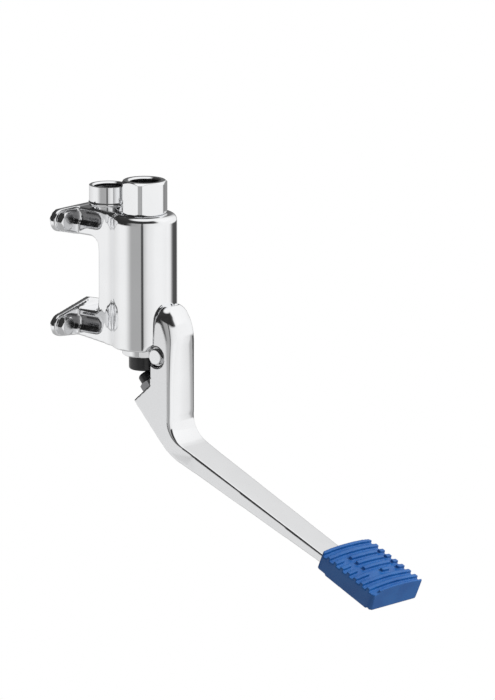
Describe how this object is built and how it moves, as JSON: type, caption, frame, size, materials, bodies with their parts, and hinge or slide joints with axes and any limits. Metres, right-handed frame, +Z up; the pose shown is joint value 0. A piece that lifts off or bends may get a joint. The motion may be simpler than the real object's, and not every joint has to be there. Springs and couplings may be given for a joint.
{
  "type": "foot pedal tap valve",
  "caption": "Wall-mounted chromed tap valve worked by foot: hanging lever with a ribbed rubber pedal, threaded inlet and outlet on top, and flanges with hex screws.",
  "frame": {"origin": "middle of the four wall screws, on the wall plane", "axes": "+Z up along the valve's axis, +Y into the wall, +X to the right as seen from the front"},
  "size_m": [0.0684, 0.2595, 0.2417],
  "materials": {
    "chrome": "polished",
    "brass": "machined",
    "steel": "satin",
    "dark_steel": "blackened",
    "screws": "bright plated",
    "black_rubber": "matte",
    "black_plastic": "satin",
    "nylon": "satin",
    "blue_rubber": "satin"
  },
  "bodies": {
    "fixed_valve": {"body_casting": "chrome", "inlet_connector": "chrome", "outlet_union": "chrome", "inlet_gasket": "black_rubber", "inlet_strainer": "steel", "outlet_gasket": "black_rubber", "guide_ring": "brass", "valve_spring": "steel", "valve_seat": "brass", "gland_nut": "chrome", "gland_washer": "nylon", "stem_seal": "black_rubber", "wall_screws": "screws", "wall_washers": "screws", "pivot_bolt": "screws", "pivot_nut": "screws", "pivot_washers": "screws"},
    "pedal_lever": {"lever_arm": "chrome", "pivot_bushes": "nylon", "lever_stop": "black_rubber", "adjusting_screw": "black_plastic", "lock_nut": "dark_steel", "pedal_pad": "blue_rubber"},
    "plunger": {"plunger": "black_plastic", "valve_stem": "steel", "disc_holder": "brass", "valve_disc": "black_rubber"}
  },
  "joints": [
    {"name": "pedal_pivot", "type": "hinge", "parent": "fixed_valve", "child": "pedal_lever", "pos_m": [0, -0.0686, -0.0475], "axis": [1, 0, 0], "range_deg": [0, 10], "stiffness_Nm_per_rad": 3, "springref_deg": -11.46},
    {"name": "plunger_slide", "type": "slide", "parent": "fixed_valve", "child": "plunger", "axis": [0, 0, 1], "range_m": [0, 0.0028], "deforming": ["valve_spring"]}
  ],
  "couplings": [
    {"joint": "plunger_slide", "follows": "pedal_pivot", "m_per_rad": 0.016}
  ]
}
